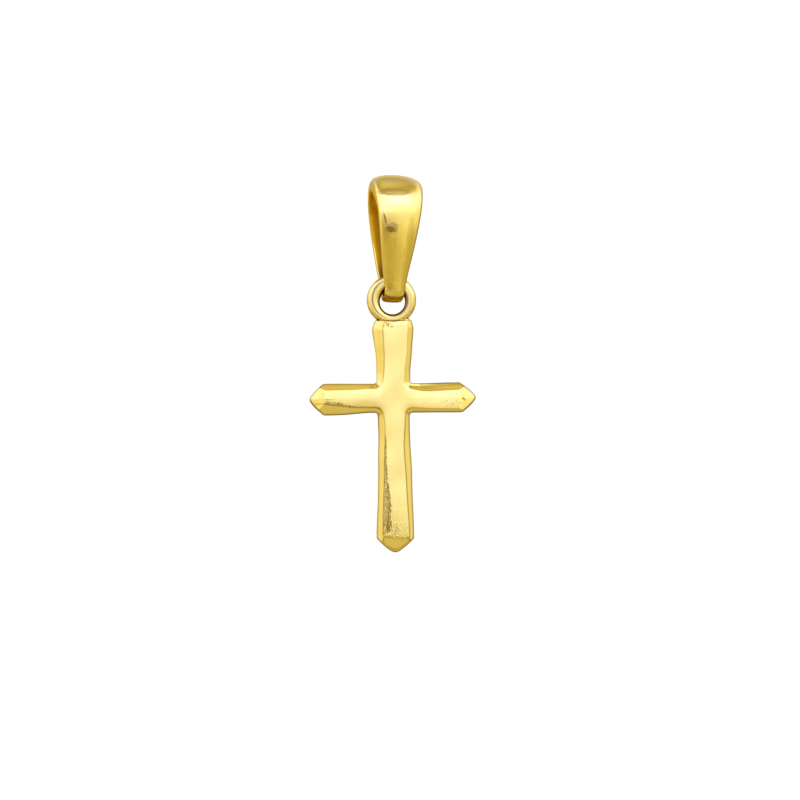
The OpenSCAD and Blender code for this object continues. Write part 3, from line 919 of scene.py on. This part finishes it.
def bail_skin():
    """The band's section carried round the loop: a rounded oblong, of power 5.5 across and 4.5 through
    the wall, crowned outside, its edges curled in under the arch. Width and wall fall evenly down each
    leaf, the arch is spread a little, and a shallow seam crosses the front of the foot, where the
    band's end is closed. Marks painted shade on the inside, round the foot's bend and along the seam,
    and on the right side and the top's edges."""
    line, place, is_front = bail_path()
    ahead = np.roll(line, -1, axis=0) - np.roll(line, 1, axis=0)
    ahead /= np.linalg.norm(ahead, axis=1)[:, None]
    line_out, line_down = line[:, :1], line[:, 1:]
    out_share, down_share = -ahead[:, 1:], ahead[:, :1]
    place, is_front = place[:, None], is_front[:, None]
    t = np.minimum(place, 1)
    top = smooth_step(-1.9, -0.3, line_down)
    width = ARCH_WIDTH + (FOOT_WIDTH - ARCH_WIDTH) * t
    width *= 1 + ARCH_SPREAD * smooth_step(-1.5, -0.1, line_down)
    wall = ARCH_WALL + (FOOT_WALL - ARCH_WALL) * t
    crown = LEAF_CROWN * width / ARCH_WIDTH + ARCH_CROWN * top

    turn = np.linspace(0, 2 * math.pi, 96, endpoint=False)[None, :]
    across = squared(np.cos(turn), POWER_ACROSS)
    through = 0.5 + 0.5 * squared(np.sin(turn), POWER_THROUGH)
    past_seam = place - SEAM_AT - SEAM_BOW * (1 - across**2)
    seam = np.exp(-((past_seam / SEAM_WIDTH) ** 2)) + smooth_step(0, 0.15, past_seam)
    sideways = 0.5 * width * across
    outer = wall - crown * across**2 - SEAM_DEPTH * seam * is_front * smooth_step(0.5, 1, through)
    inner = -ARCH_CURL * top * across**2
    outwards = inner + through * (outer - inner) - ARCH_SKEW * top * sideways
    x = sideways + FOOT_SHIFT * smooth_step(0.75, 1.0, place) + 0 * outwards
    rows = as_hung(x, -(line_out + out_share * outwards), line_down + down_share * outwards)

    # Painted shade: dark on the inside, round the foot's bend and along the seam; side on the right side
    # and the top's edges
    far_leaf = (1 - is_front) * smooth_step(0.35, 0.55, place)
    inside = (1 - smooth_step(0.1, 0.5, through)) * (1 - far_leaf * smooth_step(0.92, 0.96, -across))
    foot = smooth_step(1.3, 1.7, place) * through * 0.8
    seam_shade = np.exp(-((past_seam / (1.1 * SEAM_WIDTH)) ** 2)) * is_front * through
    dark = np.maximum(np.maximum(inside, foot), seam_shade) + 0 * x
    # Painted shade on the top's edges and the right side
    top_edge_shade = smooth_step(-0.8, -0.1, line_down) * smooth_step(0.8, 0.92, np.abs(across))
    side = smooth_step(0.90, 0.96, across) * smooth_step(0.1, 0.4, through) + 0 * x
    side = np.maximum(side, 0.35 * top_edge_shade)
    return [np.concatenate([part, part[:1]]) for part in (rows, dark, side)]


DULL_GOLD = (0.90, 0.75, 0.38)
OLIVE_SHADE_GOLD = (0.72, 0.56, 0.10)
AMBER_SHADE = (0.64, 0.35, 0.008)
# The colour of the darker band and of the painted dark reflection
DARK_BAND_AND_REFLECTION_GOLD = (0.26, 0.17, 0.03)
# Dull places, a darker band, a painted dark reflection and painted shade, from the chain's seat: middle,
# half sizes, turn, how ragged they are
LEAF = -1.6
DULL_TOP = ((0.0, 0.0, 0.9), (3.0, 3.0, 1.3))
# Where the painted shade inside deepens towards the foot
DEEP_FOOT_SHADE = ((-1.0, 0.0, -5.9), (1.0, 2.0, 1.2))
# A darker mottled band under the top
DARK_BAND = ((-0.06, LEAF, -0.54), (1.1, 0.8, 0.27), 0.03, 0.35)
# A painted dark reflection on the front leaf, with its core and its tail
DARK_REFLECTION = ((-0.27, LEAF, -2.62), (0.46, 0.7, 0.42), 0.0, 0.45)
DARK_REFLECTION_CORE = ((-0.40, LEAF, -2.74), (0.37, 0.7, 0.24), 0.1, 0.3)
DARK_REFLECTION_TAIL = ((-0.665, LEAF, -2.08), (0.085, 0.7, 0.52), -0.22, 0.2)
# Painted olive shade low on the leaf and on its right
LOW_OLIVE_SHADE = ((0.1, LEAF + 0.5, -5.2), (0.9, 1.4, 2.2), 0.0, 0.6)
RIGHT_OLIVE_SHADE = ((0.80, LEAF + 0.2, -3.2), (0.22, 0.9, 1.5), 0.14, 0.5)


def satin_gold():
    """Satin gold: a dull tan top, a darker mottled band under it, a painted dark reflection on the face,
    painted olive shade towards the foot and the right, painted amber shade inside that deepens towards
    the foot, and painted shade on the right side and the top's edges, all under a fine even grain with
    short scratches down the leaf."""
    paint, tree, shader = bare_metal("satin_gold")
    place = in_millimetres(tree, (0.0, 0.0, 0.0))
    slow = cloud(tree, place, 0.8, 2.0)
    grain = cloud(tree, place, 16.0, 4.0, rough=0.7)
    wobble = cloud(tree, place, 4.0, 3.0)
    hairs = spread(tree, cloud(tree, place, 4.0, 2.0, (5.0, 1, 0.4), 0.1), 0.58, 0.72)

    top_dull = zone(tree, place, *DULL_TOP, soft=0.12)
    deep = zone(tree, place, *DEEP_FOOT_SHADE, soft=0.5)
    dark_band = zone(tree, place, *DARK_BAND, wobble, soft=0.15)
    dark_reflection = zone(tree, place, *DARK_REFLECTION, wobble, soft=0.12)
    dark_reflection_core = zone(tree, place, *DARK_REFLECTION_CORE, wobble)
    dark_reflection_tail = zone(tree, place, *DARK_REFLECTION_TAIL, wobble)
    olive_shade = sum_of(tree, zone(tree, place, *LOW_OLIVE_SHADE, wobble), zone(tree, place, *RIGHT_OLIVE_SHADE, wobble))
    dark = sum_of(tree, product_of(tree, dark_band, spread(tree, grain, 0.35, 0.65, 0.4, 0.85)),
                  product_of(tree, dark_reflection, spread(tree, grain, 0.3, 0.7, 0.45, 0.75)),
                  product_of(tree, dark_reflection_core, 0.4), product_of(tree, dark_reflection_tail, 0.9))
    inside = marked(tree, "inside")

    colour = tinted(tree, spread(tree, slow, 0.35, 0.7, 0.0, 0.4), GOLD, DEEP_GOLD)
    # Painted olive shade towards the foot and on the right
    colour = tinted(tree, product_of(tree, olive_shade, 0.55), colour, OLIVE_SHADE_GOLD)
    colour = tinted(tree, spread(tree, grain, 0.5, 0.8, 0.0, 0.6), colour, DEEP_GOLD)
    colour = tinted(tree, product_of(tree, top_dull, 0.8), colour, DULL_GOLD)
    # The darker band under the top and the painted dark reflection on the face
    colour = tinted(tree, dark, colour, DARK_BAND_AND_REFLECTION_GOLD)
    # Painted shade on the right side and the top's edges
    colour = tinted(tree, product_of(tree, marked(tree, "edge"), 0.75), colour, EDGE_SHADE_GOLD)
    # Painted amber shade inside, deeper towards the foot
    colour = tinted(tree, inside, colour, AMBER_SHADE)
    colour = tinted(tree, product_of(tree, inside, deep, 0.75), colour, EDGE_SHADE_GOLD)
    tree.links.new(colour, shader.inputs["Base Color"])
    dull = sum_of(tree, spread(tree, slow, 0.3, 0.7, 0.13, 0.17), product_of(tree, hairs, 0.05),
                  product_of(tree, dark, 0.1), product_of(tree, top_dull, 0.2),
                  product_of(tree, inside, 0.3))
    tree.links.new(dull, shader.inputs["Roughness"])
    bump = raised(tree, grain, 0.009, 0.6)
    bump = raised(tree, hairs, 0.003, 0.35, bump)
    bump = raised(tree, product_of(tree, dark, grain), 0.02, 0.6, bump)
    tree.links.new(bump, shader.inputs["Normal"])
    return paint


bail_gold = satin_gold()
bail_points, bail_inside_shade, bail_side_shade = bail_skin()
bail_band = skin("bail_band", bail_points, bail_gold, inside=bail_inside_shade, edge=bail_side_shade)
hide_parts("bail")
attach(bail_band, "bail")
